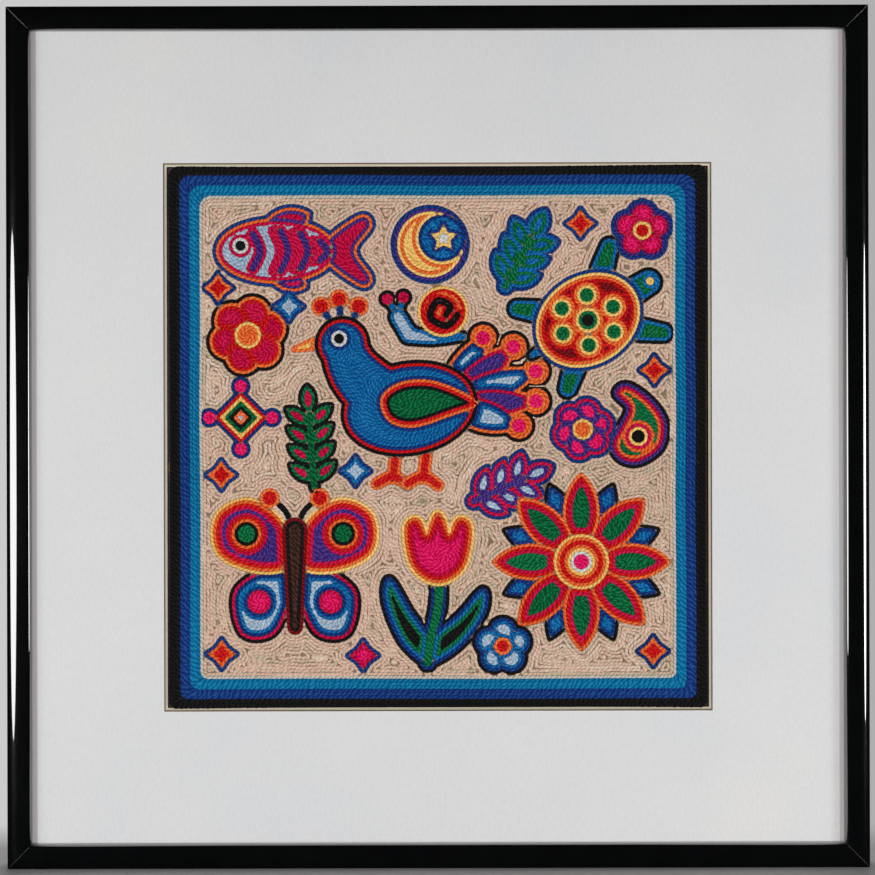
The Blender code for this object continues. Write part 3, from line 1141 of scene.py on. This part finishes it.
def draw_turtle(picture):
    x, z, lean = 84, 65, 32
    way = math.radians(lean)

    def ahead(reach):
        return off(x, z, reach, way)

    limbs = [stroke([ahead(24), ahead(40)], 7.5, 6.5), stroke([ahead(-24), ahead(-37)], 3.8, 1.6)]
    for along, aside, turn in ((22, 20, 40), (22, -20, -40), (-20, 18, 140), (-20, -18, -140)):
        hip = (x + along * math.cos(way) - aside * math.sin(way),
               z + along * math.sin(way) + aside * math.cos(way))
        limbs.append(stroke([hip, off(*hip, 13, math.radians(lean + turn))], 6, 4.6))
    picture.ring(together(*limbs), "black")
    for limb in limbs:
        picture.lay(limb, "blue green")
    picture.lay(disc(*ahead(41), 2.4), "yellow")
    picture.lay(oval(x, z, 29, 23, lean), "orange red dark_red", "yellow navy")
    for index in range(6):
        angle = math.radians(60 * index + lean)
        picture.lay(disc(x + 16.5 * math.cos(angle), z + 14 * math.sin(angle), 5.6), "yellow green")
    picture.lay(disc(x, z, 7), "yellow green black")


def draw_tulip(picture):
    stem = stroke([(-6, -126), (-4, -112), (0, -94), (0, -76)], 2.4)
    left = outline([(-6, -126), (-20, -114), (-29, -92), (-27, -80), (-16, -98), (-5, -114)])
    right = outline([(-5, -126), (12, -116), (25, -98), (25, -86), (12, -100), (-2, -112)])
    picture.ring(together(left, right, stem), "navy black")
    for shape, colours in ((left, "blue green black"), (right, "blue green black"), (stem, "green")):
        picture.lay(shape, colours)
    half = [(-13, -72), (-17, -52), (-12, -47), (-6, -56)]
    other_half = [(-x, z) for x, z in reversed(half)]
    cup = outline([(0, -80), *half, (0, -44), *other_half])
    picture.lay(cup, "red crimson pink", "orange yellow")


def draw_crescent(picture):
    picture.lay(disc(-4, 107.5, 18.5), "yellow orange yellow", "purple navy")
    picture.lay(disc(2.5, 111, 13), "navy blue")
    picture.lay(star(3.5, 111, 8.4, 4.0, 5), "yellow white")


def draw_paisley(picture):
    body = outline([(112, -14), (124, -6), (126, 8), (118, 20), (106, 28), (100, 24), (107, 16),
                    (103, 6), (98, -4), (102, -12)])
    picture.lay(body, "crimson orange green", "purple black")
    picture.lay(disc(112, 0, 5.4), "yellow black")


def draw_flower(picture, x, z, petals, reach, size, colours, eye, ring):
    shapes = [disc(*off(x, z, reach, 2 * math.pi * index / petals + 0.3), size)
              for index in range(petals)]
    picture.ring(together(*shapes), ring)
    for shape in shapes:
        picture.lay(shape, colours)
    picture.lay(disc(x, z, reach * 0.62), eye)


def draw_diamond(picture, x, z, reach):
    tips = [disc(*off(x, z, reach + 3, math.radians(90 * tip)), 3.6) for tip in range(4)]
    body = star(x, z, reach, reach / 2 ** 0.5, 4)
    picture.ring(together(body, *tips), "navy")
    for tip in tips:
        picture.lay(tip, "pink")
    picture.lay(body, "red yellow green black orange pale_blue crimson")


def draw_sprig(picture, x, z, degrees, leaves, colours, ring, pitch=10.5):
    way = math.radians(degrees)
    tip = off(x, z, pitch * leaves, way)
    blades = [leaf(*tip, 15, 7.6, degrees)]
    blades += [leaf(*off(x, z, pitch * (index + 0.35), way), 16, 7.2, degrees + side)
               for index in range(leaves) for side in (52, -52)]
    stem = stroke([(x, z), tip], 1.8)
    picture.ring(together(stem, *blades), ring)
    for blade in blades[1:]:
        picture.lay(blade, colours)
    picture.lay(stem, colours.split()[0])
    picture.lay(blades[0], colours)


def draw_snail(picture):
    x, z = 2, 70
    tail, neck, head = (x + 12, z - 14), (x - 18, z - 13), (x - 24, z - 2)
    body = together(stroke([neck, (x - 4, z - 15), tail], 4.6, 1.8),
                    stroke([neck, (x - 24, z - 3)], 4.6, 4.4))
    tips = ((x - 30, z + 7), (x - 21, z + 8))
    horns = [stroke([head, tip], 1.8) for tip in tips]
    ends = [disc(*tip, 3.2) for tip in tips]
    picture.ring(together(body, *horns, *ends), "black")
    for horn, end in zip(horns, ends):
        picture.lay(horn, "blue")
        picture.lay(end, "crimson")
    picture.lay(body, "blue pale_blue")
    picture.lay(disc(x + 1, z, 12.5), "red orange crimson", "yellow")
    turns = [(9, -2), (3, -8), (-6, -3), (-2, 6), (5, 3), (3, -2)]
    picture.lay(stroke(placed(turns, x, z), 1.9), "black")


def draw_picture():
    picture = Picture()
    field = outline(boundary_path("turquoise to field"), smooth=False)
    picture.lay(grown(field, -ROW), "cream", "pale_grey")
    for sprig in ((38, 84, 62, 3, "green blue", "blue navy"),
                  (-69, -28, 94, 4, "green crimson", "black"),
                  (20, -36, 24, 3, "purple pale_blue", "crimson navy")):
        draw_sprig(picture, *sprig)
    for draw in (draw_fish, draw_snail, draw_bird, draw_star_flower, draw_butterfly, draw_turtle,
                 draw_tulip, draw_crescent, draw_paisley):
        draw(picture)
    for flower in ((-106, 57, 6, 12, 8.2, "red crimson", "yellow orange", "orange black"),
                   (114.5, 115, 5, 8.4, 6, "crimson pink", "yellow red", "purple navy"),
                   (36, -117, 5, 8, 6, "blue pale_blue", "orange red", "navy black"),
                   (81, 4, 6, 9.4, 6.2, "purple pink", "yellow orange", "crimson navy")):
        draw_flower(picture, *flower)
    draw_diamond(picture, -110, 11, 14.5)
    warm, pale = "orange red", "blue pale_blue"
    for x, z, colours in ((-122.5, 83.5, warm), (80, 119, warm), (-121, -21, warm), (-121, -121, warm),
                          (-42, -122, "crimson pink"), (-83, 73, pale), (120, -120, warm),
                          (-46, -19, pale), (121, 37, warm)):
        picture.lay(star(x, z, 8.4, 4.8, 4), colours, "navy")
    return picture


def tuft_spots(picture, depth):
    """Points well inside the motifs, by the colour of the row that lies there."""
    spots = {}
    for r in range(0, depth.shape[0], TUFT_PITCH):
        for c in range(0, depth.shape[1], TUFT_PITCH):
            plan = picture.plans[picture.patch[r, c]]
            if plan is None or plan[0] in GROUND_YARNS or depth[r, c] < TUFT_ROWS * ROW:
                continue
            colour = plan[min(int(depth[r, c] / ROW), len(plan) - 1)]
            spots.setdefault(colour, []).append((GRID_X[c], GRID_Z[r]))
    return spots


def ring_strands(picture, number, mine, corner):
    """The single strand that goes round a motif, where it shows."""
    for line in level_lines(picture.rings[number], 0.0):
        for piece, closed in kept_pieces(line, at_points(line, mine)):
            even, length = evenly(corner + piece * CELL, closed, least=4)
            if length > SHORTEST_STRAND:
                yield picture.plans[number][0], (even, length, closed, ROW / 2 * FULLNESS)


def patch_strands(plan, values, corner):
    """Row upon row from a patch's edge to its middle, with the colour of each."""
    values = np.pad(values, 1, constant_values=-1.0)
    corner = corner - CELL
    passes = EASE_PASSES
    if plan[0] == "cream":
        values = drifted(values)
        passes = GROUND_EASE_PASSES
    row = 0
    while (row + RIDGE_SHARE) * ROW <= values.max():
        colour = plan[min(row, len(plan) - 1)]
        for line in level_lines(values, (row + 0.5) * ROW):
            even, length = evenly(corner + eased_loop(line, passes) * CELL, True)
            if length > SHORTEST_LOOP:
                yield colour, (even, length, True, ROW / 2 * FULLNESS)
        for line, closed in ridge_lines(values, row):
            if closed:
                line = eased_loop(line, EASE_PASSES)
            even, length = evenly(corner + line * CELL, closed, least=4)
            if length > SHORTEST_STRAND:
                yield colour, (even, length, closed, ROW / 2 * FULLNESS)
        row += 1


def add_picture():
    picture = draw_picture()
    depth = picture.depths()
    gathered = {}
    for number, (plan, window) in enumerate(zip(picture.plans, picture.boxes)):
        mine = picture.patch[window] == number if plan else np.zeros(1)
        if not mine.any():
            continue
        corner = np.array([GRID_X[window[1].start], GRID_Z[window[0].start]])
        if number in picture.rings:
            strands = ring_strands(picture, number, mine, corner)
        else:
            strands = patch_strands(plan, np.where(mine, depth[window], -depth[window]), corner)
        for colour, strand in strands:
            gathered.setdefault(colour, []).append(strand)
    tufts = tuft_spots(picture, depth)
    for colour, strands in gathered.items():
        sections = sum(len(strand[0]) for strand in strands)
        parts = math.ceil(sections * 2 * Yarn.SIDES / MOST_TRIANGLES)
        strands.sort(key=lambda strand: strand[0][:, 1].mean())
        share = math.ceil(len(strands) / parts)
        for part in range(parts):
            bundle = Yarn()
            for strand in strands[part * share:(part + 1) * share]:
                bundle.add(*strand)
            if part == 0 and colour in tufts:
                bundle.add_tufts(np.array(tufts[colour]), TUFT_PITCH / 2 * CELL * TUFT_OVERLAP)
            name = f"picture_yarn_{colour}" + (f"_{part + 1}" if parts > 1 else "")
            bundle.build(name, colour, ("yarn_field",))


def add_wax_bed():
    """The wax that the strands are pressed into, seen only between them."""
    outer = boundary_path("black outside") * (1 - WAX_INSET)
    count = len(outer)
    rings = ((1.0, VALLEY), (0.66, VALLEY), (0.33, VALLEY), (1.0, YARN_FOOT - WAX_GAP))
    points = [(x * share * MM, depth, MIDDLE_HEIGHT + z * share * MM)
              for share, depth in rings for x, z in outer]
    points.append((0.0, VALLEY, MIDDLE_HEIGHT))
    faces = [tuple(3 * count + step for step in reversed(range(count)))]
    for step in range(count):
        follow = (step + 1) % count
        for low, high in ((0, count), (count, 2 * count), (3 * count, 0)):
            faces.append((low + step, low + follow, high + follow, high + step))
        faces.append((2 * count + step, 2 * count + follow, 4 * count))
    bed = add_object("wax_bed", points, faces)
    paint = Paint("wax_bed", (140, 116, 92), 0.5)
    smears = paint.noise(240.0, 5.0, 0.6)
    tone = paint.ramp(smears, (0.3, (112, 92, 72)), (0.7, (160, 138, 112)))
    bed.data.materials.append(paint.use(Base_Color=tone, Normal=paint.bump(smears, 0.6, 0.0003)))


# The stage: pale floor, side softboxes and the camera at the photograph's angle

PHOTO_SIDE = 875
FRAME_IN_PHOTO = (6.6, 869.0, 5.0, 868.6)
LENS = 90.0
SENSOR = 36.0
PHOTO_LEAN = 0.14
FLOOR_REACH = 6.0
SOFTBOX_REACH = 0.95
SOFTBOX_LIFT = -0.045

# The plain wall behind the object, as (left, right, tone at left, tone at right)
WALL = (-0.19, 0.19, 0.595, 0.425)


def add_floor():
    """A pale floor that runs into the wall's tone away from the object, where it glows as painted light.
    """
    mesh = bpy.data.meshes.new("floor")
    corners = [(x * FLOOR_REACH, y * FLOOR_REACH, 0.0) for x, y in ((-1, -1), (1, -1), (1, 1), (-1, 1))]
    mesh.from_pydata(corners, [], [(0, 1, 2, 3)])
    floor = bpy.data.objects.new("floor", mesh)
    bpy.context.scene.collection.objects.link(floor)
    floor.visible_glossy = floor.visible_shadow = floor.visible_diffuse = False
    paint = Paint("floor", (186, 185, 184), 0.8)
    tone = paint.ramp(paint.noise(4.0), (0.3, (182, 181, 180)), (0.7, (189, 188, 187)))
    across, back, _ = paint.axes()
    material = paint.use(Base_Color=tone, Specular_IOR_Level=0.0)
    # Away from the object the floor glows with the wall's tone, lighter at left than at right: painted
    # light in place of lamp light
    glow = paint.node("ShaderNodeEmission")
    paint.join(paint.span(across, *WALL), glow.inputs["Color"])
    behind = paint.span(back, 0.05, 0.13)
    ahead = paint.span(back, -0.08, -0.30)
    beside = paint.span(paint.math("ABSOLUTE", across), 0.27, 0.45)
    away = paint.math("MAXIMUM", behind, paint.math("MAXIMUM", ahead, beside))
    sweep = paint.blend(away, paint.shader.outputs["BSDF"], glow.outputs["Emission"])
    paint.join(sweep, paint.nodes["Material Output"].inputs["Surface"])
    floor.data.materials.append(material)


def add_softbox(name, place, target, size, power, reflected=True):
    light = bpy.data.lights.new(name, "AREA")
    light.shape = "ELLIPSE"
    light.size, light.size_y = size
    light.energy = power
    made = bpy.data.objects.new(name, light)
    made.location = place
    made.rotation_euler = (target - place).to_track_quat("-Z", "Y").to_euler()
    made.visible_glossy = reflected
    bpy.context.scene.collection.objects.link(made)


def add_lights():
    for name, side, degrees, size, power in (("softbox_left", -1, 41, (0.86, 0.50), 4.8),
                                             ("softbox_right", 1, 57, (0.30, 0.47), 3.6)):
        angle = math.radians(degrees)
        edge = Vector((side * FRAME_SIDE / 2, FRAME_FRONT, MIDDLE_HEIGHT))
        out = Vector((side * SOFTBOX_REACH * math.sin(angle), -SOFTBOX_REACH * math.cos(angle),
                      SOFTBOX_LIFT))
        add_softbox(name, edge + out, edge, size, power)
    middle = Vector((0.0, 0.0, MIDDLE_HEIGHT))
    add_softbox("front_fill", Vector((0.30, -1.6, -0.14)), middle, (0.8, 0.5), 15.8, False)
    add_softbox("back_fill", Vector((0.0, 1.5, 1.6)), middle, (1.6, 1.2), 24.0, False)


def add_world():
    """Dim all round, darker still in reflections, and the plain wall for the camera."""
    world = bpy.data.worlds.new("studio")
    bpy.context.scene.world = world
    world.use_nodes = True
    world.node_tree.nodes.clear()
    sky = Nodes(world.node_tree, "Generated")

    def shine(strength):
        made = sky.node("ShaderNodeBackground")
        made.inputs["Strength"].default_value = strength
        return made

    wall = shine(1.0)
    sky.join(sky.span(sky.axes()["X"], *WALL), wall.inputs["Color"])
    rays = sky.node("ShaderNodeLightPath").outputs
    unseen = sky.blend(rays["Is Glossy Ray"], shine(0.16).outputs[0], shine(0.004).outputs[0])
    seen = sky.blend(rays["Is Camera Ray"], unseen, wall.outputs[0])
    sky.join(seen, sky.node("ShaderNodeOutputWorld").inputs["Surface"])


def add_camera():
    left, right, top, bottom = FRAME_IN_PHOTO
    metres_per_pixel = FRAME_SIDE / (right - left)
    view_width = PHOTO_SIDE * metres_per_pixel
    distance = view_width * LENS / SENSOR
    camera = bpy.data.cameras.new("camera")
    camera.lens = LENS
    camera.sensor_width = SENSOR
    camera.clip_start = 0.05
    camera.clip_end = 30.0
    made = bpy.data.objects.new("camera", camera)
    shift_x = ((PHOTO_SIDE - left - right) / 2) * metres_per_pixel
    shift_z = ((top + bottom - PHOTO_SIDE) / 2) * metres_per_pixel
    made.location = (shift_x, FRAME_FRONT + SHOULDER_DROP - distance, MIDDLE_HEIGHT + shift_z)
    made.rotation_euler = (math.radians(90), math.radians(PHOTO_LEAN), 0.0)
    bpy.context.scene.collection.objects.link(made)
    bpy.context.scene.camera = made


def paint_nodes():
    """The carried-over sheets keep their shape and take their finish."""
    for name, material in (("mat_board", mat_paper()), ("painting_board", waxed_board()),
                           ("backing_board", hardboard())):
        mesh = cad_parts[name].data
        mesh.materials.clear()
        mesh.materials.append(material)


add_camera()
add_rails()
paint_nodes()
add_wax_bed()
add_border()
add_picture()
add_floor()
add_lights()
add_world()
bpy.context.scene.view_settings.view_transform = "Standard"
